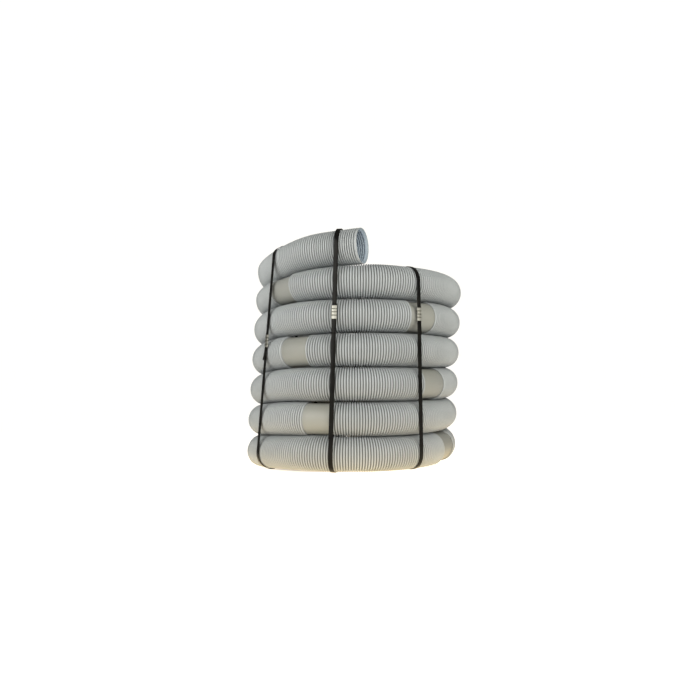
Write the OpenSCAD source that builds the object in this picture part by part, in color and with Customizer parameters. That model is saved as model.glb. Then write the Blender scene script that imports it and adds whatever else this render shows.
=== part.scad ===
// A ribbed vacuum hose for pools, wound into one upright coil and bound
// with eight plastic straps, each closed by a crimped metal seal.
// The coil leans: it stands on two of the straps and on the hose's lower end.

/* [Hose] */
// Diameter over the rib crests and over the lip at each end
hose_od = 62; // [60:0.5:65]
// Diameter over the smooth cuffs and at the foot of the ribs
cuff_od = 56; // [55:0.5:58]
// Diameter of the bore at both open ends
hose_bore = 52; // [48:0.5:52.5]
// Length of one smooth cuff
cuff_len = 52; // [40:1:60]
// Distance along the hose from the middle of one cuff to the next
cuff_pitch = 464; // [440:2:490]
// Distance along the hose from its upper end to the middle of the first cuff
first_cuff = 398; // [375:1:425]
// Number of ribs between two cuffs
ribs_between = 11; // [8:1:12]
// Number of ribs round the bore at each end
mouth_ribs = 2; // [1:1:3]
// Length of the thin smooth lip at each end
lip_len = 5; // [4:0.5:8]
// Wall of that lip
lip_wall = 1.6; // [1.2:0.1:2]
// Depth to which the bore at each end is true
mouth_depth = 60; // [50:1:62]

/* [Coil] */
// Radius of the winding, from its axis to the middle of the hose
coil_r = 188; // [175:1:205]
// Number of turns wound, without the two straight ends
wound_turns = 6.353; // [6.3:0.01:6.4]
// Where the winding starts, in degrees clockwise from the right, seen from above
start_az = 113; // [109:1:117]
// Length of the straight upper end
upper_len = 83; // [68:1:90]
// Length of the straight lower end
lower_len = 68; // [66:1:80]
// Gap between one turn and the turn below it
turn_gap = 0.8; // [0.5:0.1:1]
// How far every turn sags at the coil's left
sag = 6; // [0:0.5:10]
// Where the sag is deepest, in degrees clockwise from the right
sag_az = 177; // [175:1:180]

/* [Straps] */
// Width of a strap
strap_w = 8.5; // [7:0.5:12]
// Thickness of a strap
strap_t = 0.7; // [0.5:0.1:1]
// Clearance between the hose and a strap
strap_gap = 0.6; // [0.6:0.1:0.8]
// Length of the strap's loose tail below its seal
tail_below = 25; // [15:1:35]
// Length of the strap's tail above its seal
tail_above = 4; // [2:1:8]

/* [Seals] */
// Length of a crimped seal, along the strap
seal_len = 24; // [20:1:28]
// Wall of the seal
seal_wall = 0.4; // [0.3:0.05:0.4]
// Clearance between the seal and the straps inside it
seal_fit = 0.05; // [0.03:0.01:0.1]
// Number of grooves crimped into the seal
seal_crimps = 3; // [2:1:4]
// Depth of a groove
groove_deep = 0.25; // [0.15:0.01:0.28]

/* [Hidden] */

// Each strap: where it stands around the coil in degrees clockwise from the
// right, its slant in the coil's wall, and how far its seal hangs below the
// start of the winding.
straps = [
    [140.8, -2.2, 173], // front left
    [100.2, 1.3, 122],  // front
    [57.6, 4.4, 114],   // front right
    [340, 0, 150],      // right
    [305, 0, 131],      // back right
    [271, 0, 158],      // back
    [235, 0, 120],      // back left
    [200, 0, 147]       // left
];
FRONT = 1;
FRONT_RIGHT = 2;

tube_sides = 8;
bore_steps = 8;      // steps of the bore's facets between two cuffs
facet_sunk = 0.4;    // how far the facets' corners lie inside the round cuffs
facet_wall = 1.5;    // how far the facets' corners lie inside the round bore
cuff_trim = 1;       // how far a round cuff stops short of the ribs beside it
stand_flat = 0.5;    // depth of the flat that the hose's lower end stands on
mouth_root = 4;      // how far the round wall of a mouth runs on past its bore
tuck = 2;            // how far the facets reach into that wall
seam_turn = 180 / tube_sides; // keeps the seam of that wall off the facets' corners
run_sunk = 0.01;     // how far a strap's straight runs are sunk into its bends
tail_in = 0.05;      // how far the tail's edges stand in from the strap's edges
gap_steps = 72;      // points to a turn when the gap between turns is measured
round_fn = 64;
edge_fn = 16;
far = 900;
sag_half = 60;       // degrees to each side of the deepest sag over which it runs out

crest_r = hose_od / 2;
foot_r = cuff_od / 2;
facet_foot_r = foot_r - facet_sunk;
facet_bore_r = hose_bore / 2 - facet_wall;
core_r = (facet_bore_r + facet_foot_r * cos(180 / tube_sides)) / 2; // mid-wall of the facets
mouth_end = mouth_depth + mouth_root;
turn_pitch = hose_od + turn_gap;
slope = turn_pitch / (2 * PI * coil_r);
wound_len = 2 * PI * coil_r * wound_turns;
hose_run = upper_len + wound_len + lower_len;
end_az = start_az + 360 * wound_turns;

// ---- The hose's path. A place on it is its distance s from the upper end,
// measured in plan. Heights are counted from the start of the winding.
function wound(s) = min(max(s - upper_len, 0), wound_len);
function straight(s) = s - upper_len - wound(s);
function azimuth(s) = start_az + wound(s) * 180 / (PI * coil_r);
function outwards(s) = [cos(azimuth(s)), -sin(azimuth(s)), 0];
function onwards(s) = [-sin(azimuth(s)), -cos(azimuth(s)), 0];
function from_sag(az) = az - sag_az - 360 * round((az - sag_az) / 360);
function sagged(az) = abs(from_sag(az)) < sag_half ? sag * (1 + cos(180 * from_sag(az) / sag_half)) / 2 : 0;
function sag_slope(az) = abs(from_sag(az)) < sag_half
    ? -sag * sin(180 * from_sag(az) / sag_half) * 90 / sag_half / coil_r : 0;
function fall(s) = slope + sag_slope(azimuth(s));
function downhill(s) = (onwards(s) - [0, 0, fall(s)]) / sqrt(1 + fall(s) * fall(s));
function middle(s) = coil_r * outwards(s) + straight(s) * onwards(s)
    + [0, 0, (upper_len - s) * slope - sagged(azimuth(s))];

// ---- The facets: rings of points, one station after another. A station is
// [distance, radius, distance at which its direction is taken]. Both rings of
// a cuff take the direction of its middle, so a cuff is straight.
cuffs = [for (s = first_cuff; s + cuff_len < hose_run - mouth_end; s = s + cuff_pitch) s];
last = len(cuffs);
function from(i) = i == 0 ? mouth_end + tuck : cuffs[i - 1] + cuff_len / 2;
function to(i) = i == last ? hose_run - mouth_end - tuck : cuffs[i] - cuff_len / 2;
function share(i, steps) = max(1, round(steps * (to(i) - from(i)) / (cuff_pitch - cuff_len)));
function facing(i, f) = f == 0 && i > 0 ? cuffs[i - 1] : f == 1 && i < last ? cuffs[i]
    : from(i) + f * (to(i) - from(i));
function station(i, f, r) = [from(i) + f * (to(i) - from(i)), r, facing(i, f)];
function end_station(s, r) = [s, r, s];
function with_ends(stations, r) =
    [end_station(mouth_end - tuck, r), each stations, end_station(hose_run - mouth_end + tuck, r)];

rib_stations = with_ends([for (i = [0:last]) let (n = 2 * share(i, ribs_between))
    for (k = [0:n]) station(i, k / n, k % 2 == 1 ? crest_r : facet_foot_r)], facet_foot_r);
bore_stations = with_ends([for (i = [0:last]) let (n = share(i, bore_steps))
    for (k = [0:n]) station(i, k / n, facet_bore_r)], facet_bore_r);

function ring(q) = let (n = outwards(q[2]), u = cross(n, downhill(q[2])))
    [for (k = [0:tube_sides - 1]) let (a = 360 * k / tube_sides)
        middle(q[0]) + q[1] * (cos(a) * n + sin(a) * u)];
function skin(first, rings, inside) = [for (j = [0:rings - 2]) for (k = [0:tube_sides - 1])
    let (a = first + j * tube_sides + k, b = first + j * tube_sides + (k + 1) % tube_sides)
    let (c = a + tube_sides, d = b + tube_sides)
    each inside ? [[a, c, b], [b, c, d]] : [[a, b, c], [b, d, c]]];
function rim(o, b, upper) = [for (k = [0:tube_sides - 1]) let (m = (k + 1) % tube_sides)
    each upper ? [[o + k, b + k, b + m], [o + k, b + m, o + m]]
        : [[o + k, b + m, b + k], [o + k, o + m, b + m]]];

outer_points = [for (q = rib_stations) each ring(q)];
bore_points = [for (q = bore_stations) each ring(q)];
tube_faces = let (n = len(outer_points), m = len(bore_points)) concat(
    skin(0, len(rib_stations), false), skin(n, len(bore_stations), true),
    rim(0, n, true), rim(n - tube_sides, n + m - tube_sides, false));

// ---- The straps. A strap lies in a plane, [outwards, up], at azimuth az.
// Heights where the hose crosses azimuth az, by turn:
function height(az) = (start_az - az) * turn_pitch / 360 - sagged(az);
function before_start(az) = start_az - az;
function reach_az(len) = atan((len - strap_w) / coil_r);
function on_upper_end(az) = before_start(az) > 0 && before_start(az) < reach_az(upper_len);
function top_az(az) = az >= start_az || on_upper_end(az) ? az : az + 360;
function bottom_az(az) = az + 360 * floor((end_az + reach_az(lower_len) - az) / 360);
function top_radius(az) = on_upper_end(az) ? coil_r / cos(before_start(az)) : coil_r;
function pivot(q) = (height(top_az(q[0])) + height(bottom_az(q[0]))) / 2;
function splay(q) = (pivot(q) - height(bottom_az(q[0]))) * sin(q[1]) / coil_r * 180 / PI;
function strap_axis(q) = [sin(q[0]) * cos(q[1]), cos(q[0]) * cos(q[1]), sin(q[1])];
// Inner radius of the bend that clears the hose where it crosses at azimuth az
function bend_r(q, az) = let (s = upper_len + max(az - start_az, 0) * PI / 180 * coil_r)
    let (c = abs(downhill(s) * strap_axis(q)))
    crest_r / c + strap_w / 2 * sqrt(1 / (c * c) - 1) + strap_gap;
function bend(q, az, r) = [r, height(az), bend_r(q, az)];
function bottom_bend(q) = bend(q, bottom_az(q[0] - splay(q)), coil_r);
function top_bend(q) = bend(q, top_az(q[0] + splay(q)), top_radius(q[0]));
function next_bend(q) = bend(q, q[0] + 360, coil_r);
// The bends from the bottom one up the outside and back down the inside
function bends(q) = on_upper_end(q[0]) ? [bottom_bend(q), top_bend(q), next_bend(q)]
    : [bottom_bend(q), top_bend(q)];
// Direction in which the straight run from bend a to bend b faces
function side(a, b) = let (d = [b[0] - a[0], b[1] - a[1]], l = norm(d), f = (a[2] - b[2]) / l)
    f * d / l + sqrt(1 - f * f) * [d[1], -d[0]] / l;
function touch(a, n, extra) = [a[0], a[1]] + (a[2] + extra) * n;
// A point of the strap's own plane as a point of the coil
function on_strap(q, p) = let (n = [cos(q[0]), -sin(q[0]), 0], across = [sin(q[0]), cos(q[0]), 0])
    let (h = p[1] - pivot(q))
    p[0] * n - h * sin(q[1]) * across + [0, 0, pivot(q) + h * cos(q[1])];
// The straight outer run: the way it faces, and the middle of its seal's seat
function run_side(q) = side(bottom_bend(q), top_bend(q));
function seal_seat(q) = let (n = run_side(q), a = touch(bottom_bend(q), n, 0), b = touch(top_bend(q), n, 0))
    a + (-q[2] - a[1]) / (b[1] - a[1]) * (b - a);

// ---- The stance: up is the direction, in the coil's own frame, for which the
// two front straps and the lower end of the hose are equally low.
function lowest(c, axis, r, half, up) = let (a = up * axis)
    c - r * (up - a * axis) / sqrt(1 - a * a) - half * sign(a) * axis;
function strap_foot(q, up) = let (b = bottom_bend(q))
    lowest(on_strap(q, b), strap_axis(q), b[2] + strap_t, strap_w / 2, up);
function hose_foot(up) = lowest(middle(hose_run), downhill(hose_run), crest_r - stand_flat, 0, up);
function feet(up) = [strap_foot(straps[FRONT], up), strap_foot(straps[FRONT_RIGHT], up), hose_foot(up)];
function plane_up(p) = let (v = cross(p[1] - p[0], p[2] - p[0])) v / norm(v) * sign(v[2]);
function settled(up, rounds) = rounds == 0 ? up : settled(plane_up(feet(up)), rounds - 1);
world_z = settled([0, 0, 1], 5);
lean_right = -asin(world_z[0]);
lean_front = atan2(world_z[1], world_z[2]);
world_x = [cos(lean_right), sin(lean_right) * sin(lean_front), sin(lean_right) * cos(lean_front)];
world_y = [0, cos(lean_front), -sin(lean_front)];
floor_z = feet(world_z)[0] * world_z;

// How far the whole part reaches in a direction of the coil's frame
seal_h = 2 * strap_t + 2 * seal_fit + 2 * seal_wall;
seal_w = strap_w + 2 * seal_fit + 2 * seal_wall;
seal_in = seal_fit + seal_wall;
function strap_reach(q, e) = let (across = abs(e * strap_axis(q)))
    max([for (b = bends(q)) on_strap(q, b) * e + (b[2] + strap_t) * sqrt(1 - across * across)])
    + strap_w / 2 * across;
function seal_reach(q, e) = on_strap(q, seal_seat(q) + (seal_h - seal_in) * run_side(q)) * e
    + seal_w / 2 * abs(e * strap_axis(q)) + seal_len / 2 * abs(e[2]);
function mouth_reach(s, e) = let (across = abs(e * downhill(s)))
    middle(s) * e + crest_r * sqrt(1 - across * across);
function tube_reach(e) = max([for (p = outer_points) p * e]);
function hose_reach(e) = max(mouth_reach(0, e), mouth_reach(hose_run, e), tube_reach(e));
function reach(e) = max(hose_reach(e), max([for (q = straps) max(strap_reach(q, e), seal_reach(q, e))]));
centre_x = (reach(world_x) - reach(-world_x)) / 2;
centre_y = (reach(world_y) - reach(-world_y)) / 2;

// ---- What the source measures: the gap between turns, and the hose's length
turn_s = 2 * PI * coil_r;
function gap_below(s) = min([for (b = [s + 0.95 * turn_s:1:min(s + 1.05 * turn_s, hose_run)])
    norm(middle(s) - middle(b))]);
least_gap = min([for (s = [0:turn_s / gap_steps:hose_run - turn_s]) gap_below(s)]) - hose_od;
echo(least_gap_between_turns_mm = least_gap);
echo(hose_length_mm = hose_run * sqrt(1 + slope * slope), cuffs = len(cuffs), triangles = len(tube_faces));
echo(lean_front = lean_front, lean_right = lean_right);

// ---- Frames
module stand() {
    translate([-centre_x, -centre_y, -floor_z]) rotate([lean_front, lean_right, 0]) children();
}

// Turns +Z to run down the hose at distance s, with +X outwards
module on_hose(s, at) {
    n = outwards(s);
    t = downhill(s);
    u = cross(t, n);
    multmatrix([
        [n[0], u[0], t[0], at[0]],
        [n[1], u[1], t[1], at[1]],
        [n[2], u[2], t[2], at[2]],
        [0, 0, 0, 1]]) children();
}

module strap_frame(q) {
    rotate([0, 0, -q[0]]) translate([0, 0, pivot(q)]) rotate([q[1], 0, 0])
        translate([0, 0, -pivot(q)]) children();
}

// ---- The hose
module cuff(i) {
    a = middle(cuffs[i] - cuff_len / 2 + cuff_trim);
    b = middle(cuffs[i] + cuff_len / 2 - cuff_trim);
    on_hose(cuffs[i], (a + b) / 2) difference() {
        cylinder(h = norm(b - a), d = cuff_od, center = true, $fn = round_fn);
        cylinder(h = norm(b - a) + 2, r = core_r, center = true, $fn = round_fn);
    }
}

// An open end with its true bore and its ribs, +Z running into the hose
module mouth() {
    rib = (mouth_end - lip_len) / (2 * mouth_ribs);
    lip_r = crest_r - lip_wall;
    lip_z = lip_len - lip_wall;
    rotate_extrude($fn = round_fn) polygon([
        [lip_r, 0], [crest_r, 0], [crest_r, lip_len],
        for (k = [0:2 * mouth_ribs]) [k % 2 == 1 ? crest_r : foot_r, lip_len + k * rib],
        [core_r, mouth_end], [core_r, mouth_depth], [hose_bore / 2, mouth_depth],
        [hose_bore / 2, lip_z], [lip_r, lip_z]]);
}

module ribbed_tube() {
    polyhedron(points = concat(outer_points, bore_points), faces = tube_faces, convexity = 20);
}

module hose() {
    color([0.72, 0.73, 0.71]) difference() {
        stand() {
            ribbed_tube();
            for (i = [0:last - 1]) cuff(i);
            on_hose(0, middle(0)) rotate(seam_turn) mouth();
            on_hose(hose_run, middle(hose_run)) mirror([0, 0, 1]) rotate(seam_turn) mouth();
        }
        translate([-far / 2, -far / 2, -far]) cube(far);
    }
}

// ---- The straps
module bent_outline(bends, extra) {
    n = len(bends);
    for (p = bends) translate([p[0], p[1]]) circle(r = p[2] + extra, $fn = round_fn);
    polygon([for (i = [0:n - 1]) let (a = bends[i], b = bends[(i + 1) % n], out = side(a, b))
        each [touch(a, out, extra - run_sunk), touch(b, out, extra - run_sunk)]]);
}

// The seat of strap q's seal: +X outwards and +Z up along the strap
module at_seal(q) {
    p = seal_seat(q);
    out = run_side(q);
    strap_frame(q) translate([p[0], 0, p[1]]) rotate([0, -atan2(out[1], out[0]), 0]) children();
}

module strap(q) {
    tail_len = tail_below + seal_len + tail_above;
    color([0.06, 0.06, 0.07]) stand() {
        strap_frame(q) rotate([90, 0, 0]) linear_extrude(strap_w, center = true) difference() {
            bent_outline(bends(q), strap_t);
            bent_outline(bends(q), 0);
        }
        at_seal(q) translate([strap_t / 2, tail_in - strap_w / 2, -seal_len / 2 - tail_below])
            cube([strap_t * 1.5, strap_w - 2 * tail_in, tail_len]);
    }
}

// ---- The seals
module seal(q) {
    fold_r = seal_wall;
    color([0.78, 0.78, 0.76]) stand() at_seal(q) difference() {
        translate([-seal_in, 0, 0]) linear_extrude(seal_len, center = true) difference() {
            union() {
                translate([0, -seal_w / 2 + fold_r]) square([seal_h, seal_w - 2 * fold_r]);
                translate([fold_r, -seal_w / 2]) square([seal_h - 2 * fold_r, seal_w]);
                for (x = [fold_r, seal_h - fold_r], y = [-1, 1])
                    translate([x, y * (seal_w / 2 - fold_r)]) circle(r = fold_r, $fn = edge_fn);
            }
            translate([seal_wall, -seal_w / 2 + seal_wall])
                square([seal_h - 2 * seal_wall, seal_w - 2 * seal_wall]);
        }
        crimps(seal_h - seal_in);
    }
}

// Round grooves pressed across the seal's face and bitten into its two edges
module crimps(face_x) {
    groove_r = seal_len / seal_crimps / 4;
    groove_x = face_x + groove_r - groove_deep;
    groove_y = seal_w / 2 + groove_r - groove_deep;
    for (i = [1:seal_crimps]) translate([0, 0, seal_len * (i / (seal_crimps + 1) - 0.5)]) {
        translate([groove_x, 0, 0]) rotate([90, 0, 0])
            cylinder(h = seal_w + 2, r = groove_r, center = true, $fn = edge_fn);
        for (y = [-groove_y, groove_y]) translate([face_x - seal_h / 2, y, 0]) rotate([0, 90, 0])
            cylinder(h = seal_h + 2, r = groove_r, center = true, $fn = edge_fn);
    }
}

hose();
strap(straps[0]);  // strap_front_left
strap(straps[1]);  // strap_front
strap(straps[2]);  // strap_front_right
strap(straps[3]);  // strap_right
strap(straps[4]);  // strap_back_right
strap(straps[5]);  // strap_back
strap(straps[6]);  // strap_back_left
strap(straps[7]);  // strap_left
seal(straps[0]);  // seal_front_left
seal(straps[1]);  // seal_front
seal(straps[2]);  // seal_front_right
seal(straps[3]);  // seal_right
seal(straps[4]);  // seal_back_right
seal(straps[5]);  // seal_back
seal(straps[6]);  // seal_back_left
seal(straps[7]);  // seal_left
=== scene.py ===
"""A ribbed vacuum hose for pools, coiled upright and bound with eight plastic straps.

All sizes are in metres and all angles in degrees, unless a name says otherwise. The winding is
worked out in the coil's own frame, with its axis on Z and the start of the winding at height 0,
and stands on the floor through to_floor().
"""

import math

import bpy
import numpy as np
from mathutils import Matrix, Vector


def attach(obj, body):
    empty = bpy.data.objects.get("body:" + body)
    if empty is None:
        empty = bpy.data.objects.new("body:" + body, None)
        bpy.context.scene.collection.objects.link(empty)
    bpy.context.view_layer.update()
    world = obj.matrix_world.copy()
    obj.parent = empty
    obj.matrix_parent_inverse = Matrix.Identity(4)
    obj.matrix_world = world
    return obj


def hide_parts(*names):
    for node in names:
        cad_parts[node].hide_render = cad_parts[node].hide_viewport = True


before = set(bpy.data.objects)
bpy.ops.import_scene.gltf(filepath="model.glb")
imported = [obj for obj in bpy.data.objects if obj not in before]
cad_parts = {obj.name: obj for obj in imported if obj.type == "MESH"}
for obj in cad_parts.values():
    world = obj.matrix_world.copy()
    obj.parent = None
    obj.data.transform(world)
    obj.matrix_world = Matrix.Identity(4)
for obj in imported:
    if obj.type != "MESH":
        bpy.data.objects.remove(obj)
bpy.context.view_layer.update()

MM = 0.001

# ---- Sizes of the hose
HOSE_OD = 62 * MM        # over the rib crests
CUFF_OD = 56 * MM        # over the smooth cuffs and at the foot of the ribs
HOSE_BORE = 52 * MM
CUFF_LEN = 49 * MM
CUFF_PITCH = 464 * MM
FIRST_CUFF = 398 * MM
WALL = 1.6 * MM          # thickness of the ribbed wall
RIB_PITCH = 4.3 * MM
RIB_HEIGHT = (HOSE_OD - CUFF_OD) / 2
GROOVE = 0.3             # share of the pitch that the groove between two ribs takes
PRESSED = 1.01           # height over width of the hose's section, pressed between its straps
HOSE_SIDES = 40          # points round the hose's section

# ---- Sizes of the coil
COIL_R = 188 * MM
WOUND_TURNS = 6.353
START_AZ = 113.0
UPPER_LEN = 83 * MM
LOWER_LEN = 68 * MM
TURN_PITCH = HOSE_OD + 0.8 * MM
SLOPE = TURN_PITCH / (2 * math.pi * COIL_R)
WOUND_LEN = 2 * math.pi * COIL_R * WOUND_TURNS
HOSE_RUN = UPPER_LEN + WOUND_LEN + LOWER_LEN
SAG = 6 * MM             # how far every turn sags at the coil's left
SAG_AZ = 177.0           # where the sag is deepest, clockwise from the right
SAG_HALF = 60.0          # how far it reaches to each side of that

# ---- How the coil stands: its lean, and where its frame's origin comes to
LEAN_FRONT = math.radians(3.8225)
LEAN_RIGHT = math.radians(4.21722)
STANCE = Matrix((
    (math.cos(LEAN_RIGHT), math.sin(LEAN_RIGHT) * math.sin(LEAN_FRONT),
     math.sin(LEAN_RIGHT) * math.cos(LEAN_FRONT)),
    (0, math.cos(LEAN_FRONT), -math.sin(LEAN_FRONT)),
    (-math.sin(LEAN_RIGHT), math.cos(LEAN_RIGHT) * math.sin(LEAN_FRONT),
     math.cos(LEAN_RIGHT) * math.cos(LEAN_FRONT))))
COIL_ORIGIN = Vector((16.0537 * MM, -8.13469 * MM, 415.344 * MM))


def to_floor(point):
    """A point of the coil's own frame, where it stands."""
    return STANCE @ Vector(point) + COIL_ORIGIN


# ---- The hose's path. A place on it is its distance s from the upper end, measured in plan.
def wound(s):
    return min(max(s - UPPER_LEN, 0), WOUND_LEN)


def outwards(s):
    azimuth = math.radians(START_AZ) + wound(s) / COIL_R
    return Vector((math.cos(azimuth), -math.sin(azimuth), 0))


def onwards(s):
    out = outwards(s)
    return Vector((out.y, -out.x, 0))


def sagged(s):
    azimuth = START_AZ + math.degrees(wound(s) / COIL_R)
    off = (azimuth - SAG_AZ + 180) % 360 - 180
    return SAG * (1 + math.cos(math.pi * off / SAG_HALF)) / 2 if abs(off) < SAG_HALF else 0


def hose_middle(s):
    straight = s - UPPER_LEN - wound(s)
    height = (UPPER_LEN - s) * SLOPE - sagged(s)
    return COIL_R * outwards(s) + straight * onwards(s) + Vector((0, 0, height))


# How far each cuff stands off its even place, in mm, because the hose is wound by hand
CUFF_SHIFTS = (0, 0, 9, 0, 2, 0, 0, 11, 0, 12, 0, 0, 3, 0, -6, 0)
CUFFS = [FIRST_CUFF + k * CUFF_PITCH + shift * MM for k, shift in enumerate(CUFF_SHIFTS)]


def hose_path(start, end, step=3 * MM):
    """Points along the hose's middle, where it stands. Its stiff cuffs are straight."""
    count = max(2, round((end - start) / step))
    stops = [start + (end - start) * k / count for k in range(count + 1)]
    points = []
    for s in stops:
        cuff = next((c for c in CUFFS if abs(s - c) < CUFF_LEN / 2), None)
        if cuff is None:
            points.append(to_floor(hose_middle(s)))
        else:
            a, b = hose_middle(cuff - CUFF_LEN / 2), hose_middle(cuff + CUFF_LEN / 2)
            points.append(to_floor(a.lerp(b, (s - cuff) / CUFF_LEN + 0.5)))
    return points


# ---- Camera
CAMERA_AWAY = 1150 * MM   # in front of the coil's axis
CAMERA_DROP = 252.6 * MM  # under the start of the winding
CAMERA_YAW, CAMERA_PITCH, CAMERA_ROLL = -0.616, 3.976, 2.925
SENSOR = 36
FOCAL_SHARE = 530.8 / 700  # the focal length over the sensor's width


def place_camera():
    """Stands in front of the coil, at the height of the fifth turn from the top."""
    yaw, pitch, roll = map(math.radians, (CAMERA_YAW, CAMERA_PITCH, CAMERA_ROLL))
    ahead = Vector((math.sin(yaw) * math.cos(pitch), math.cos(yaw) * math.cos(pitch),
                    math.sin(pitch)))
    level = Vector((math.cos(yaw), -math.sin(yaw), 0))
    upright = level.cross(ahead)
    right = math.cos(roll) * level + math.sin(roll) * upright
    up = math.cos(roll) * upright - math.sin(roll) * level
    turn = Matrix((STANCE @ right, STANCE @ up, STANCE @ -ahead)).transposed()
    stand = to_floor((0, -CAMERA_AWAY, -CAMERA_DROP))
    data = bpy.data.cameras.new("camera")
    data.sensor_width = SENSOR
    data.lens = FOCAL_SHARE * SENSOR
    data.clip_start = 0.05
    camera = bpy.data.objects.new("camera", data)
    camera.matrix_world = Matrix.Translation(stand) @ turn.to_4x4()
    bpy.context.scene.collection.objects.link(camera)
    bpy.context.scene.camera = camera


# ---- Node trees
class Wire:
    """A socket of a node. Sums on wires that carry numbers add Math nodes."""

    def __init__(self, bench, socket):
        self.bench, self.socket = bench, socket

    def __add__(self, other):
        return self.bench.maths("ADD", self, other)

    def __radd__(self, other):
        return self.bench.maths("ADD", other, self)

    def __sub__(self, other):
        return self.bench.maths("SUBTRACT", self, other)

    def __rsub__(self, other):
        return self.bench.maths("SUBTRACT", other, self)

    def __mul__(self, other):
        return self.bench.maths("MULTIPLY", self, other)

    def __rmul__(self, other):
        return self.bench.maths("MULTIPLY", other, self)

    def __truediv__(self, other):
        return self.bench.maths("DIVIDE", self, other)

    def __rtruediv__(self, other):
        return self.bench.maths("DIVIDE", other, self)

    def __gt__(self, other):
        return self.bench.maths("GREATER_THAN", self, other)

    def __lt__(self, other):
        return self.bench.maths("LESS_THAN", self, other)


class Bench:
    """Builds the nodes of one tree."""

    def __init__(self, tree):
        self.tree = tree

    def add(self, kind, settings, inputs, output=0):
        """A node: its settings first, then its sockets' values or wires, in order or by name."""
        node = self.tree.nodes.new(kind)
        for name, value in settings.items():
            if name == "stops":
                ramp = node.color_ramp
                while len(ramp.elements) < len(value):
                    ramp.elements.new(0.5)
                for stop, (place, colour) in zip(ramp.elements, value):
                    stop.position = place
                    stop.color = (*colour, 1)
            else:
                setattr(node, name, value)
        pairs = inputs.items() if isinstance(inputs, dict) else enumerate(inputs)
        for key, value in pairs:
            if isinstance(value, Wire):
                self.tree.links.new(value.socket, node.inputs[key])
            else:
                node.inputs[key].default_value = value
        return Wire(self, node.outputs[output]) if node.outputs else None

    def maths(self, operation, *values):
        return self.add("ShaderNodeMath", {"operation": operation}, values)

    def other(self, wire, output):
        """Another output of the node that a wire comes from."""
        return Wire(self, wire.socket.node.outputs[output])

    def feed(self, node, name, wire):
        self.tree.links.new(wire.socket, node.inputs[name])

    def place(self):
        """Where a point lies on its own piece."""
        return self.other(self.add("ShaderNodeTexCoord", {}, {}), "Object")

    def mark(self, name):
        """A number that the mesh's points carry."""
        return self.other(self.add("ShaderNodeAttribute", {"attribute_name": name}, {}), "Fac")

    def grain(self, place, scale, detail):
        return self.add("ShaderNodeTexNoise", {},
                        {"Vector": place, "Scale": scale, "Detail": detail})

    def mottled(self, place, scale, shades):
        """A colour that drifts between two shades over the surface."""
        noise = self.add("ShaderNodeTexNoise", {},
                         {"Vector": place, "Scale": scale, "Detail": 3.0, "Roughness": 0.6})
        stops = list(zip((0.3, 0.7), shades))
        return self.add("ShaderNodeValToRGB", {"stops": stops}, [noise])

    def blended(self, share, low, high):
        """The low colour where share is 0 and the high one where it is 1."""
        return self.add("ShaderNodeMix", {"data_type": "RGBA"}, {0: share, 6: low, 7: high},
                        output=2)


# ---- Finishes. Each pair of shades is the darker and the lighter that a surface drifts between.
CREST_SHADES = (0.25, 0.27, 0.282), (0.29, 0.312, 0.328)
# The grooves' colour: dust and painted shade.
GROOVE_DUST_AND_SHADE = (0.108, 0.115, 0.117), (0.138, 0.147, 0.150)
CUFF_SHADES = (0.198, 0.202, 0.179), (0.206, 0.214, 0.208)
# Painted cool light: the bore is the same plastic as the outside, drawn bluer and paler.
BORE_COOL_LIGHT_SHADES = (0.40, 0.48, 0.58), (0.44, 0.52, 0.62)
# Painted shade that darkens the bore's lip and its crests.
BORE_PAINTED_SHADE = (0.24, 0.29, 0.335, 1)
STRAP_SHADES = (0.003, 0.003, 0.003), (0.008, 0.008, 0.007)
SEAL_SHADES = (0.25, 0.25, 0.225), (0.34, 0.34, 0.31)
# Painted shade in the seal's crimps.
SEAL_CRIMP_SHADE = (0.10, 0.10, 0.085, 1)


def new_finish(name, base, roughness, **even):
    """A material with one surface shader. Even values are the same all over it."""
    material = bpy.data.materials.new(name)
    material.use_nodes = True
    material.node_tree.nodes.clear()
    bench = Bench(material.node_tree)
    surface = bench.add("ShaderNodeBsdfPrincipled", {},
                        {"Base Color": (*base, 1), "Roughness": roughness, **even})
    bench.add("ShaderNodeOutputMaterial", {}, {"Surface": surface})
    return material, bench, surface.socket.node


def rib_finish():
    """Pale grey hose plastic, plain on the crests and darkened in the grooves by dust and painted
    shade.
    """
    material, bench, surface = new_finish("hose_ribs", (0.5, 0.5, 0.48), 0.4)
    place = bench.place()
    # Away from the crests the colour turns to the grooves' darker one, dust and painted shade.
    crest_share = bench.maths("SMOOTH_MIN", bench.mark("crest") * 1.6, 1.0, 0.2)
    bench.feed(surface, "Base Color", bench.blended(crest_share, bench.mottled(place, 60.0, GROOVE_DUST_AND_SHADE),
                                                    bench.mottled(place, 9.0, CREST_SHADES)))
    bench.feed(surface, "Roughness", 0.34 + bench.grain(place, 900.0, 2.0) * 0.16)
    return material


def cuff_finish():
    """The same plastic moulded smooth, a little yellower."""
    material, bench, surface = new_finish("hose_cuffs", (0.5, 0.48, 0.42), 0.4)
    place = bench.place()
    bench.feed(surface, "Base Color", bench.mottled(place, 5.0, CUFF_SHADES))
    fine = bench.grain(place, 700.0, 3.0)
    bench.feed(surface, "Roughness", 0.45 + fine * 0.15)
    bench.feed(surface, "Normal", bench.add("ShaderNodeBump", {}, {
        "Strength": 0.15, "Distance": 0.4 * MM, "Height": fine}))
    return material


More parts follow.
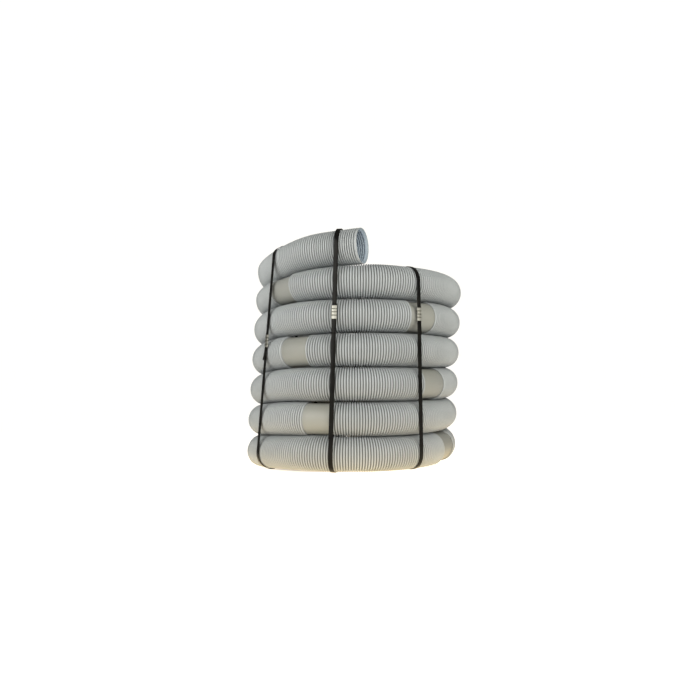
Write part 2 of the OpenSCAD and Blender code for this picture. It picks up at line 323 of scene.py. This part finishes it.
def bore_finish():
    """The inside of the hose, painted bluer and paler than its outside as cool light, and darkened
    by painted shade on its lip and its crests.
    """
    material, bench, surface = new_finish("hose_bore", (0.36, 0.42, 0.47), 0.5)
    # Painted cool light: bluer and paler than the outside of the same plastic.
    open_wall = bench.mottled(bench.place(), 30.0, BORE_COOL_LIGHT_SHADES)
    # Where the mark is high, on the lip and the crests, painted shade darkens the bore.
    bench.feed(surface, "Base Color", bench.blended(bench.mark("crest"), open_wall, BORE_PAINTED_SHADE))
    return material


def strap_finish():
    """Glossy black strapping."""
    material, bench, surface = new_finish("strapping", (0.012, 0.012, 0.012), 0.3,
                                          **{"Specular IOR Level": 0.06})
    place = bench.place()
    bench.feed(surface, "Base Color", bench.mottled(place, 40.0, STRAP_SHADES))
    bench.feed(surface, "Roughness", 0.16 + bench.grain(place, 1200.0, 2.0) * 0.12)
    return material


def seal_finish():
    """Zinc-plated strip, lightly scuffed, with painted shade in its crimps."""
    material, bench, surface = new_finish("seal_metal", (0.62, 0.61, 0.57), 0.35, Metallic=1.0)
    place = bench.place()
    bright = bench.mottled(place, 250.0, SEAL_SHADES)
    # Painted shade darkens the seal where it is crimped.
    bench.feed(surface, "Base Color", bench.blended(bench.mark("groove"), bright, SEAL_CRIMP_SHADE))
    bench.feed(surface, "Roughness", 0.36 + bench.grain(place, 1500.0, 3.0) * 0.25)
    return material


# ---- Meshes
def rings_along(path, stations, sides):
    """Rings of points round a path. A station is (distance along the path, radius)."""
    points = np.array([tuple(p) for p in path])
    legs = np.linalg.norm(np.diff(points, axis=0), axis=1)
    run = np.concatenate([[0], np.cumsum(legs)])
    slopes = np.gradient(points, axis=0)
    slopes /= np.linalg.norm(slopes, axis=1)[:, None]
    axis = np.array(tuple(STANCE @ Vector((0, 0, 1))))
    rings = []
    for distance, radius in stations:
        middle = [np.interp(distance, run, points[:, k]) for k in range(3)]
        along = np.array([np.interp(distance, run, slopes[:, k]) for k in range(3)])
        along /= np.linalg.norm(along)
        side = np.cross(along, axis)
        side /= np.linalg.norm(side)
        over = np.cross(side, along)
        turn = 2 * math.pi * np.arange(sides) / sides
        spokes = np.cos(turn)[:, None] * side + PRESSED * np.sin(turn)[:, None] * over
        rings.append(middle + radius * spokes)
    return rings


def skinned(name, rings, materials, around=False, picks=None, marks=None):
    """A closed skin over rings of points: round again to the first ring, or capped at both ends.

    picks holds the material of the faces that follow each ring, and marks holds lists of numbers
    that its points carry, by name.
    """
    count, sides = len(rings), len(rings[0])
    points = np.concatenate(rings)
    faces, kinds = [], []
    for j in range(count if around else count - 1):
        a, b = j * sides, (j + 1) % count * sides
        for k in range(sides):
            m = (k + 1) % sides
            faces.append((a + k, a + m, b + m, b + k))
            kinds.append(picks[j] if picks else 0)
    if not around:
        faces += [tuple(range(sides))[::-1], tuple(range((count - 1) * sides, count * sides))]
        kinds += [0, 0]
    fans = [(f[0], f[i], f[i + 1]) for f in faces for i in range(1, len(f) - 1)]
    corners = points[np.array(fans)]
    volume = np.einsum("ij,ij->", corners[:, 0], np.cross(corners[:, 1], corners[:, 2]))
    if volume < 0:
        faces = [f[::-1] for f in faces]
    mesh = bpy.data.meshes.new(name)
    mesh.from_pydata(points.tolist(), [], faces)
    for material in materials:
        mesh.materials.append(material)
    mesh.polygons.foreach_set("material_index", kinds)
    mesh.polygons.foreach_set("use_smooth", [True] * len(mesh.polygons))
    for mark, values in (marks or {}).items():
        mesh.attributes.new(mark, "FLOAT", "POINT").data.foreach_set("value", values)
    mesh.update()
    piece = bpy.data.objects.new(name, mesh)
    bpy.context.scene.collection.objects.link(piece)
    return piece


def closed_sleeve(name, path, stations, materials):
    """A closed sleeve: its stations go down the outside and come back up the inside.

    A station is (distance along the path, radius, nearness to a crest, material). On the inside
    that nearness also sets how much painted shade darkens the bore.
    """
    rings = rings_along(path, [station[:2] for station in stations], HOSE_SIDES)
    crests = [station[2] for station in stations for _ in range(HOSE_SIDES)]
    return skinned(name, rings, materials, True, [station[3] for station in stations],
                   {"crest": crests})


# ---- The hose
LIP_LEN = 5.4 * MM       # the plain thin lip at each open end
LIP_DROP = 0.4 * MM      # how much lower it is than the ribs
END_RIBS = 12            # the ribs behind each lip, which the wall's own mesh holds
END_LEN = LIP_LEN + END_RIBS * RIB_PITCH
CREST_STEPS = 6          # the steps from a rib's foot over its crest to its other foot
ROWS_PER_RIB = CREST_STEPS + 2
STEEPNESS = 0.7          # under 1 makes the ribs' flanks steeper
STEP_LEN = 0.3 * MM      # how soon the wall steps down behind them
UNDER_RIBS = 0.25 * MM   # how much lower the wall is under the ribs than at the cuffs
RIB_SLEEVE = 0.8 * MM    # how much lower a rib's sleeve is inside than at the ribs' foot
END_WAVE = 0.26          # the share of the ribs' height that the ends' inside follows
RING_STEP = 13 * MM      # between the wall's rings along a plain stretch
EDGE_CLEAR = 3 * MM      # such a ring stands at least this far from a cuff's edge,
LAST_CLEAR = 6 * MM      # this far from the last ribbed end
BORE_CLEAR = 1 * MM      # and this far from both, in the bore
CUFF_UNDER = 1.0 * MM    # how far a cuff reaches under the ribs,
STEP_UNDER = 1.5 * MM    # and the step down beside it


def path_length(path):
    return sum((b - a).length for a, b in zip(path, path[1:]))


def end_profile():
    """The ribs behind a lip: (distance from the end, radius, nearness to a crest)."""
    turns = [math.pi * m / CREST_STEPS for m in range(CREST_STEPS + 1)]
    shares = [0] + [GROOVE + (1 - GROOVE) * (1 - math.cos(turn)) / 2 for turn in turns]
    swells = [0] + [math.sin(turn) ** STEEPNESS for turn in turns]
    return [(LIP_LEN + (rib + share) * RIB_PITCH, CUFF_OD / 2 + swell * RIB_HEIGHT, swell)
            for rib in range(END_RIBS) for share, swell in zip(shares, swells)]


def build_wall(plastics):
    """The hose's wall from end to end: its ribbed open ends, its bore and its smooth cuffs."""
    path = hose_path(0, HOSE_RUN)
    total = path_length(path)
    scale = total / HOSE_RUN
    under_ribs = CUFF_OD / 2 - UNDER_RIBS
    lip = HOSE_OD / 2 - LIP_DROP
    # The lip's marks near a half mix a little of the grooves' dust and painted shade into its
    # outside.
    rim = [(0.0, lip - 0.55 * WALL, 0.5), (0.06 * MM, lip - 0.25 * WALL, 0.5),
           (0.3 * MM, lip, 0.55), (LIP_LEN - 0.5 * MM, lip, 0.55),
           (LIP_LEN - 0.2 * MM, lip - 0.5 * MM, 0.5)]
    end = end_profile()
    rib_side, cuff_side, bore_side = 0, 1, 2

    outside = [(s, r, swell, rib_side) for s, r, swell in rim + end]
    outside.append((END_LEN + STEP_LEN, under_ribs, 0, cuff_side))
    # Plain rings, and beside each cuff's edge a step down that the ribs hide
    edges = [(c + side * CUFF_LEN / 2) * scale for c in CUFFS for side in (-1, 1)]
    places = [s for s in np.arange(END_LEN + RING_STEP, total - END_LEN - LAST_CLEAR, RING_STEP)
              if all(abs(s - e) > EDGE_CLEAR for e in edges)]
    for e, sign in zip(edges, [-1, 1] * len(CUFFS)):
        places += [e + sign * STEP_UNDER, e + sign * CUFF_UNDER]
    cuff_half = CUFF_LEN / 2 + (CUFF_UNDER + STEP_UNDER) / 2
    for s in sorted(places):
        on_cuff = any(abs(s / scale - c) < cuff_half for c in CUFFS)
        outside.append((s, CUFF_OD / 2 if on_cuff else under_ribs, 0, cuff_side))
    outside.append((total - END_LEN - STEP_LEN, under_ribs, 0, rib_side))
    outside += [(total - s, r, swell, rib_side) for s, r, swell in (rim + end)[::-1]]

    # The inside steps in behind the lip and follows the ribs a little. Its crest marks set how much
    # painted shade darkens the lip and the crests inside.
    step_in = CUFF_OD / 2 - 0.6 * WALL
    inner_end = [(0.06 * MM, lip - 0.7 * WALL, 1.0), (0.4 * MM, lip - 0.8 * WALL, 1.0),
                 (1.2 * MM, lip - WALL, 0.9), (2.6 * MM, step_in + 0.8 * MM, 0.8),
                 (LIP_LEN - 0.7 * MM, step_in, 0.2)]
    inner_end += [(s, step_in + END_WAVE * (r - CUFF_OD / 2), swell) for s, r, swell in end]
    inside = [(s, r, swell, bore_side) for s, r, swell in inner_end]
    inside += [(s, HOSE_BORE / 2, 0, bore_side)
               for s in np.arange(END_LEN + BORE_CLEAR, total - END_LEN - BORE_CLEAR, RING_STEP)]
    inside += [(total - s, r, swell, bore_side) for s, r, swell in inner_end[::-1]]
    return closed_sleeve("hose_wall", path, outside + inside[::-1], plastics)


RIB_INPUTS = {"Path": "Geometry", "Ribs": "Int", "Sides": "Int", "Rows inside": "Int",
              "Foot radius": "Float", "Rib height": "Float", "Inner radius": "Float",
              "Groove share": "Float", "Steepness": "Float", "Pressed": "Float",
              "Finish": "Material"}


def rib_tree():
    """Ribs on a sleeve along a path, as a Geometry Nodes tree.

    The grid's rows go down the outside and back up the inside. Its columns go round the path.
    """
    tree = bpy.data.node_groups.new("ribs_along_hose", "GeometryNodeTree")
    for name, kind in RIB_INPUTS.items():
        tree.interface.new_socket(name=name, in_out="INPUT", socket_type="NodeSocket" + kind)
    tree.interface.new_socket(name="Sleeve", in_out="OUTPUT", socket_type="NodeSocketGeometry")
    bench = Bench(tree)
    given = bench.add("NodeGroupInput", {}, {})
    ribs, sides, rows_inside = (bench.other(given, n) for n in ("Ribs", "Sides", "Rows inside"))
    foot, height, inner = (bench.other(given, n)
                           for n in ("Foot radius", "Rib height", "Inner radius"))
    groove, steep, pressed = (bench.other(given, n)
                              for n in ("Groove share", "Steepness", "Pressed"))
    columns = sides + 1
    rows_outside = ribs * ROWS_PER_RIB + 1
    grid = bench.add("GeometryNodeMeshGrid", {}, {
        "Size X": 1.0, "Size Y": 1.0,
        "Vertices X": rows_outside + rows_inside + 1, "Vertices Y": columns})

    # Each point's row and column, and which way its row goes
    index = bench.add("GeometryNodeInputIndex", {}, {})
    row = bench.maths("FLOOR", (index + 0.5) / columns)
    column = index - row * columns
    back = row > rows_outside - 0.5
    closing = row > rows_outside + rows_inside - 0.5

    # Its place on its rib, and so how far along the path and how far out it lies
    rib = bench.maths("FLOOR", row / ROWS_PER_RIB)
    step = row - rib * ROWS_PER_RIB
    turn = bench.maths("MAXIMUM", step - 1, 0) * (math.pi / CREST_STEPS)
    swell = bench.maths("POWER", bench.maths("MAXIMUM", bench.maths("SINE", turn), 0), steep)
    rise = (1 - bench.maths("COSINE", turn)) * 0.5
    share = (step > 0.5) * (groove + (1 - groove) * rise)
    going = (rib + share) / ribs
    coming = 1 - (row - rows_outside) / (rows_inside - 1)
    factor = (going + back * (coming - going)) * (1 - closing)
    outer_radius = foot + height * swell
    radius = outer_radius + (back - closing) * (inner - outer_radius)
    radius = radius + closing * (foot - radius)

    sample = bench.add("GeometryNodeSampleCurve",
                       {"mode": "FACTOR", "use_all_curves": True, "data_type": "FLOAT"},
                       {"Curves": bench.other(given, "Path"), "Factor": factor}, output=1)
    along, side = bench.other(sample, "Tangent"), bench.other(sample, "Normal")
    over = bench.add("ShaderNodeVectorMath", {"operation": "CROSS_PRODUCT"}, [along, side])
    angle = column / sides * (2 * math.pi)

    def scaled(vector, amount):
        return bench.add("ShaderNodeVectorMath", {"operation": "SCALE"},
                         {"Vector": vector, "Scale": amount})

    def added(a, b):
        return bench.add("ShaderNodeVectorMath", {"operation": "ADD"}, [a, b])

    spoke = added(scaled(side, radius * bench.maths("COSINE", angle)),
                  scaled(over, radius * pressed * bench.maths("SINE", angle)))
    shaped = bench.add("GeometryNodeSetPosition", {},
                       {"Geometry": grid, "Position": added(sample, spoke)})
    marked = bench.add("GeometryNodeStoreNamedAttribute",
                       {"data_type": "FLOAT", "domain": "POINT"},
                       {"Geometry": shaped, "Name": "crest", "Value": swell})
    merged = bench.add("GeometryNodeMergeByDistance", {}, {"Geometry": marked, "Distance": 1e-6})
    smooth = bench.add("GeometryNodeSetShadeSmooth", {},
                       {"Geometry": merged, "Shade Smooth": True})
    real = bench.add("GeometryNodeRealizeInstances", {}, {"Geometry": smooth})
    dressed = bench.add("GeometryNodeSetMaterial", {},
                        {"Geometry": real, "Material": bench.other(given, "Finish")})
    bench.add("NodeGroupOutput", {}, {"Sleeve": dressed})
    return tree


def grown(name, path, tree, values):
    """Runs a Geometry Nodes tree on a path and keeps the result as a plain mesh."""
    curve = bpy.data.curves.new(name + "_path", "CURVE")
    curve.dimensions = "3D"
    spline = curve.splines.new("POLY")
    spline.points.add(len(path) - 1)
    spline.points.foreach_set("co", [c for p in path for c in (*p, 1)])
    holder = bpy.data.objects.new(name + "_path", curve)
    bpy.context.scene.collection.objects.link(holder)
    modifier = holder.modifiers.new("nodes", "NODES")
    modifier.node_group = tree
    for item in tree.interface.items_tree:
        if item.in_out == "INPUT" and item.name in values:
            modifier[item.identifier] = values[item.name]
    ready = holder.evaluated_get(bpy.context.evaluated_depsgraph_get())
    mesh = bpy.data.meshes.new_from_object(ready)
    mesh.name = name
    piece = bpy.data.objects.new(name, mesh)
    bpy.context.scene.collection.objects.link(piece)
    bpy.data.objects.remove(holder)
    return piece


def build_ribs(material):
    """The ribbed stretches: one before each cuff and one after the last."""
    tree = rib_tree()
    starts = [END_LEN] + [c + CUFF_LEN / 2 for c in CUFFS]
    ends = [c - CUFF_LEN / 2 for c in CUFFS] + [HOSE_RUN - END_LEN]
    pieces = []
    for number, (start, end) in enumerate(zip(starts, ends), 1):
        path = hose_path(start, end, step=2 * MM)
        length = path_length(path)
        pieces.append(grown(f"ribs_{number:02d}", path, tree, {
            "Ribs": round(length / RIB_PITCH), "Sides": HOSE_SIDES,
            "Rows inside": max(4, round(length / (12 * MM))),
            "Foot radius": CUFF_OD / 2, "Rib height": RIB_HEIGHT,
            "Inner radius": CUFF_OD / 2 - RIB_SLEEVE, "Groove share": GROOVE,
            "Steepness": STEEPNESS, "Pressed": PRESSED, "Finish": material}))
    return pieces


# ---- What presses on the hose
# Where the turns lie a little off their even winding: the azimuth, how far that reaches to each
# side, the seam (0 is the top of the first turn, 1 the seam under it and so on), and how far the
# hose above it and the hose below it lie off upwards, in mm
PRESSES = ((158, 50, 0, -16, -16), (150, 62, 1, -9, -9), (100, 60, 1, -1.5, -1.5),
           (100, 90, 2, -1.5, -1.5), (115, 30, 3, -2, -2), (101, 40, 6, -0.3, 3.4),
           (262, 34, 6, -6, 0), (84, 24, 1, -2, 1.5))


def bell(off, half):
    """1 where off is 0, falling softly to 0 at half to each side of it."""
    return np.where(abs(off) < half, (1 + np.cos(np.pi * off / half)) / 2, 0)


def press(piece):
    """Settles the turns where they bear on one another, and keeps everything off the floor."""
    mesh = piece.data
    places = np.empty(len(mesh.vertices) * 3)
    mesh.vertices.foreach_get("co", places)
    turned, origin = np.array(STANCE), np.array(COIL_ORIGIN)
    coil = (places.reshape(-1, 3) - origin) @ turned
    azimuth = np.degrees(np.arctan2(-coil[:, 1], coil[:, 0])) % 360
    sag = SAG * bell(azimuth - SAG_AZ, SAG_HALF)
    top = (START_AZ - azimuth) * TURN_PITCH / 360 - sag + TURN_PITCH / 2
    rise = np.zeros(len(coil))
    for middle, half, seam, above, below in PRESSES:
        height = (coil[:, 2] - top + seam * TURN_PITCH) / (TURN_PITCH / 2)
        nearness = np.clip(1 - abs(height), 0, 1)
        rise += np.where(height > 0, above, below) * MM * bell(azimuth - middle, half) * nearness
    coil[:, 2] += rise
    places = coil @ turned.T + origin
    places[:, 2] = np.maximum(places[:, 2], 0)
    mesh.vertices.foreach_set("co", places.ravel())
    mesh.update()


# ---- The straps and their seals
STRAP_W, STRAP_T, STRAP_CORNER = 8.5 * MM, 0.7 * MM, 0.22 * MM
TAIL_BELOW, TAIL_ABOVE = 25 * MM, 4 * MM               # how far a loose tail passes its seal
TAIL_STEPS = 27
TAIL_LIFT = 0.8 * MM                                   # how far its end stands off, by strap
TAIL_LIFTS = {"strapping_front_left": 3.2 * MM, "strapping_front": 0.9 * MM}
SEAL_LEN, SEAL_WALL, SEAL_FIT = 24 * MM, 0.4 * MM, 0.05 * MM
SEAL_CORNER, SEAL_STEPS = 0.45 * MM, 72
CRIMPS, CRIMP_HALF, CRIMP_DEEP = 3, 1.7 * MM, 0.36 * MM
BITE = 0.05                                            # share of the width lost at a crimp
FLARE, FLARE_LEN = 0.12 * MM, 1.2 * MM                 # how far each end of a seal opens out

# Each strap: where it stands (degrees clockwise from the right), its slant, the height about which
# it slants, how far down its seal sits, and its bends from the bottom one up the outside: each
# one's distance from the coil's axis, its height and its inner radius. Lengths are in millimetres.
STRAPS = {
    "front_left": (140.8, -2.2, -195.293, 173, ((188, -384.411, 32.5343), (188, -6.187, 32.5048))),
    "front": (100.2, 1.3, -186.167, 122,
              ((188, -374.34, 31.7838), (192.791, 2.0057, 33.3778), (188, -60.5671, 31.7437))),
    "front_right": (57.6, 4.4, -210.136, 114, ((188, -366.495, 31.9624), (188, -53.7761, 31.9624))),
    "right": (340, 0, -196.599, 150, ((188, -353.599, 31.8697), (188, -39.5989, 31.8697))),
    "back_right": (305, 0, -190.493, 131, ((188, -347.493, 31.8697), (188, -33.4933, 31.8697))),
    "back": (271, 0, -184.562, 158, ((188, -341.562, 31.8697), (188, -27.5622, 31.8697))),
    "back_left": (235, 0, -209.699, 120, ((188, -398.099, 31.8406), (188, -21.2987, 31.8406))),
    "left": (200, 0, -207.652, 147, ((188, -396.052, 31.6371), (188, -19.2518, 31.6371))),
}


def on_strap(strap, place):
    """Where a point of a strap's own plane stands: (distance from the axis, height, across)."""
    az, slant, pivot = math.radians(strap[0]), math.radians(strap[1]), strap[2] * MM
    out = Vector((math.cos(az), -math.sin(az), 0))
    across = Vector((math.sin(az), math.cos(az), 0))
    width = math.cos(slant) * across + math.sin(slant) * Vector((0, 0, 1))
    rise = place[1] - pivot
    height = Vector((0, 0, pivot + rise * math.cos(slant)))
    point = place[0] * out - rise * math.sin(slant) * across + height
    return to_floor(point + place[2] * width)


def facing(a, b):
    """The direction that the straight run from bend a to bend b faces."""
    d = np.subtract(b[:2], a[:2])
    length = np.linalg.norm(d)
    lean = (a[2] - b[2]) / length
    return lean * d / length + math.sqrt(1 - lean * lean) * np.array([d[1], -d[0]]) / length


def strap_course(strap):
    """Points of a strap's inner face with the way each faces, from the bottom bend round."""
    bends = [tuple(v * MM for v in bend) for bend in strap[4]]
    course = []
    for k, bend in enumerate(bends):
        before, after = facing(bends[k - 1], bend), facing(bend, bends[(k + 1) % len(bends)])
        a = math.atan2(before[1], before[0])
        b = math.atan2(after[1], after[0])
        b += 2 * math.pi * (b < a)
        steps = max(3, round((b - a) / math.radians(7.5)))
        for i in range(steps + 1):
            angle = a + (b - a) * i / steps
            way = np.array([math.cos(angle), math.sin(angle)])
            course.append((np.array(bend[:2]) + bend[2] * way, way))
        last, nxt = course[-1], bends[(k + 1) % len(bends)]
        end = np.array(nxt[:2]) + nxt[2] * after
        runs = max(2, round(np.linalg.norm(end - last[0]) / (6 * MM)))
        course += [(last[0] + (end - last[0]) * i / runs, after) for i in range(1, runs)]
    return course


def rounded_section(width, thick, corner, steps=3):
    """Points round a flat bar's section: (out from the inner face, across)."""
    points = []
    for x, y, turn in ((thick - corner, width / 2 - corner, 0),
                       (corner, width / 2 - corner, 90),
                       (corner, corner - width / 2, 180),
                       (thick - corner, corner - width / 2, 270)):
        for k in range(steps + 1):
            a = math.radians(turn + 90 * k / steps)
            points.append((x + corner * math.cos(a), y + corner * math.sin(a)))
    return points


def run_frame(strap):
    """The strap's straight outer run: its seal's seat, the way up it, and the way it faces."""
    low, high = ([v * MM for v in strap[4][k]] for k in (0, 1))
    way = facing(low, high)
    a, b = np.array(low[:2]) + low[2] * way, np.array(high[:2]) + high[2] * way
    seat = a + (-strap[3] * MM - a[1]) / (b[1] - a[1]) * (b - a)
    return seat, (b - a) / np.linalg.norm(b - a), way


def strap_ring(strap, place, way, section):
    """The points of a section that stands on a strap's inner face at a place and faces a way."""
    return np.array([tuple(on_strap(strap, (*(place + out * way), across)))
                     for out, across in section])


def build_strap(name, strap, material):
    """A strap: its loop, and its loose tail that lies on the outer run and lifts at its end."""
    section = rounded_section(STRAP_W, STRAP_T, STRAP_CORNER)
    loop = [strap_ring(strap, place, way, section) for place, way in strap_course(strap)]
    pieces = [skinned(name, loop, [material], around=True)]
    seat, up, way = run_frame(strap)
    section = rounded_section(STRAP_W - 0.1 * MM, STRAP_T, STRAP_CORNER)
    tail = []
    bottom, top = -SEAL_LEN / 2 - TAIL_BELOW, SEAL_LEN / 2 + TAIL_ABOVE
    for k in range(TAIL_STEPS + 1):
        along = bottom + (top - bottom) * k / TAIL_STEPS
        loose = max(0, -SEAL_LEN / 2 - 2 * MM - along) / TAIL_BELOW
        lift = STRAP_T * 1.02 + TAIL_LIFTS.get(name, TAIL_LIFT) * loose ** 1.6
        raised = [(out + lift, across) for out, across in section]
        tail.append(strap_ring(strap, seat + along * up, way, raised))
    pieces.append(skinned(name + "_tail", tail, [material]))
    return joined(pieces)


def joined(pieces):
    """One object that holds the meshes of them all."""
    bpy.ops.object.select_all(action="DESELECT")
    for piece in pieces:
        piece.select_set(True)
    bpy.context.view_layer.objects.active = pieces[0]
    bpy.ops.object.join()
    return pieces[0]


def build_seal(name, strap, material):
    """A folded metal sleeve, pressed into grooves across its face and bitten at both edges."""
    seat, up, way = run_frame(strap)
    width = STRAP_W + 2 * SEAL_FIT + 2 * SEAL_WALL
    thick = 2 * STRAP_T + 2 * SEAL_FIT + 2 * SEAL_WALL
    crimps = [SEAL_LEN * (i / (CRIMPS + 1) - 0.5) for i in range(1, CRIMPS + 1)]
    rings, marks = [], []
    for k in range(SEAL_STEPS + 1):
        along = SEAL_LEN * (k / SEAL_STEPS - 0.5)
        nearest = min(abs(along - crimp) for crimp in crimps)
        deep = 0.5 + 0.5 * math.cos(math.pi * min(nearest / CRIMP_HALF, 1))
        flare = FLARE * max(0, abs(along) - SEAL_LEN / 2 + FLARE_LEN) / FLARE_LEN
        section = []
        for out, across in rounded_section(width, thick, SEAL_CORNER, 4):
            face = out > thick / 2
            out = out - CRIMP_DEEP * deep * face + flare * face - SEAL_FIT - SEAL_WALL
            section.append((out, across * (1 - BITE * deep)))
        rings.append(strap_ring(strap, seat + along * up, way, section))
        marks += [deep] * len(section)
    hole = [(out - SEAL_FIT, across) for out, across in rounded_section(
        width - 2 * SEAL_WALL, thick - 2 * SEAL_WALL, 0.1 * MM, 4)]
    for along in (SEAL_LEN / 2 - 0.05 * MM, -SEAL_LEN / 2 + 0.05 * MM):
        rings.append(strap_ring(strap, seat + along * up, way, hole))
        marks += [1.0] * len(hole)
    return skinned(name, rings, [material], around=True, marks={"groove": marks})


# ---- Stage. The camera sees the table and the backdrop plain, whatever light they give, but for a painted shadow on the table within the coil.
TABLE_SEEN = 1.15                                      # how bright the camera sees the table
WITHIN_SEEN = 0.3                                      # and what share of that within the coil, where it is a painted shadow
WARMTH_SEEN = 0.2                                      # the share of its warmth that is seen
BACKDROP_SEEN = 1.06
GLOW_FAR, GLOW_NEAR = (1.0, 0.95, 0.89), (1.0, 0.76, 0.42)
GLOW, GLOW_AT_COIL = 0.36, 1.35                        # the table's glow, and what the coil adds
COIL_FOOT = (-0.014, 0.0195, 0)                        # the coil's middle on the table
GLOW_FROM, GLOW_TO = 0.22, 0.5                         # how far from there what is added fades
DARK_TO, LIT_FROM = 0.14, 0.195                        # the table doesn't glow within the coil, where the camera sees a painted shadow
SKY_COLOUR = (1.0, 0.985, 0.945)
SKY_BEHIND, SKY_ABOVE, SKY_FRONT = 0.26, 0.06, 0.16    # the backdrop's light on the hose
LAMPS = {"left_lamp": ((-0.60, -0.88, 0.56), (1.0, 0.975, 0.91)),
         "right_lamp": ((0.58, -0.88, 0.56), (1.0, 0.965, 0.87))}
LAMP_SIZE, LAMP_POWER = 0.9, 10.4
LIT_AT = Vector((0, 0, 0.38))                          # what the lamps point at


def faded(bench, distance, start, end, low, high):
    """Low up to the start and high from the end on, with a soft change between."""
    return bench.add("ShaderNodeMapRange", {"interpolation_type": "SMOOTHSTEP"},
                     [distance, start, end, low, high])


def build_floor():
    """A pale table that glows, brightest and warmest round the coil, and that the camera sees
    darker within the coil as a painted shadow.
    """
    bpy.ops.mesh.primitive_plane_add(size=60, location=(0, 0, 0))
    floor = bpy.context.object
    floor.name = "floor"
    material, bench, surface = new_finish("floor", (0.8, 0.8, 0.8), 0.7)
    place = bench.add("ShaderNodeVectorMath", {"operation": "SUBTRACT"},
                      [bench.place(), COIL_FOOT])
    away = bench.add("ShaderNodeVectorMath", {"operation": "LENGTH"}, [place], output=1)
    near = faded(bench, away, GLOW_FROM, GLOW_TO, 1.0, 0.0)
    outside = faded(bench, away, DARK_TO, LIT_FROM, 0.0, 1.0)
    seen = bench.add("ShaderNodeLightPath", {}, {})
    bench.feed(surface, "Emission Color", bench.add(
        "ShaderNodeValToRGB", {"stops": [(0.0, GLOW_FAR), (1.0, GLOW_NEAR)]},
        [near - seen * near * (1 - WARMTH_SEEN)]))
    glow = outside * (GLOW + near * GLOW_AT_COIL)
    # Within the coil the camera sees the table darker: a painted shadow.
    shown = TABLE_SEEN * (WITHIN_SEEN + outside * (1 - WITHIN_SEEN))
    bench.feed(surface, "Emission Strength", glow + seen * (shown - glow))
    floor.data.materials.append(material)


def build_sky():
    """A pale backdrop. Its light is strongest behind the coil and weak above it."""
    world = bpy.context.scene.world or bpy.data.worlds.new("world")
    bpy.context.scene.world = world
    world.use_nodes = True
    bench = Bench(world.node_tree)
    parts = bench.add("ShaderNodeSeparateXYZ", {}, [bench.add("ShaderNodeTexCoord", {}, {})])
    behind = faded(bench, bench.other(parts, "Y"), 0.1, 0.6, 0.0, 1.0)
    above = faded(bench, bench.other(parts, "Z"), 0.5, 0.9, 0.0, 1.0)
    light = SKY_FRONT + behind * (SKY_BEHIND - SKY_FRONT)
    light = light + above * (SKY_ABOVE - light)
    seen = bench.add("ShaderNodeLightPath", {}, {})
    sky = world.node_tree.nodes["Background"]
    sky.inputs["Color"].default_value = (*SKY_COLOUR, 1)
    bench.feed(sky, "Strength", light + seen * (BACKDROP_SEEN - light))
    bpy.context.scene.view_settings.view_transform = "Standard"


def light_studio():
    """Two wide soft round lamps in front of the coil, one to each side, a little above it."""
    for name, (place, colour) in LAMPS.items():
        data = bpy.data.lights.new(name, "AREA")
        data.shape = "DISK"
        data.size = LAMP_SIZE
        data.energy = LAMP_POWER
        data.color = colour
        lamp = bpy.data.objects.new(name, data)
        lamp.location = place
        lamp.rotation_euler = (LIT_AT - lamp.location).to_track_quat("-Z", "Y").to_euler()
        lamp.visible_camera = False
        bpy.context.scene.collection.objects.link(lamp)


# ---- Making
place_camera()
rib_plastic, cuff_plastic, bore_plastic = rib_finish(), cuff_finish(), bore_finish()
wall = build_wall([rib_plastic, cuff_plastic, bore_plastic])
ribs = build_ribs(rib_plastic)
for piece in [wall, *ribs]:
    press(piece)
route = hose_path(0, HOSE_RUN, step=30 * MM)
for piece in [wall, *ribs]:
    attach(piece, "root")
    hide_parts("hose")

strapping, seal_metal = strap_finish(), seal_finish()
for name, strap in STRAPS.items():
    band = build_strap("strapping_" + name, strap, strapping)
    clip = build_seal("clip_" + name, strap, seal_metal)
    for piece, node, slot in ((band, "strap_" + name, "strap"), (clip, "seal_" + name, "seal")):
        press(piece)
        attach(piece, "root")
        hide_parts(node)

build_floor()
build_sky()
light_studio()
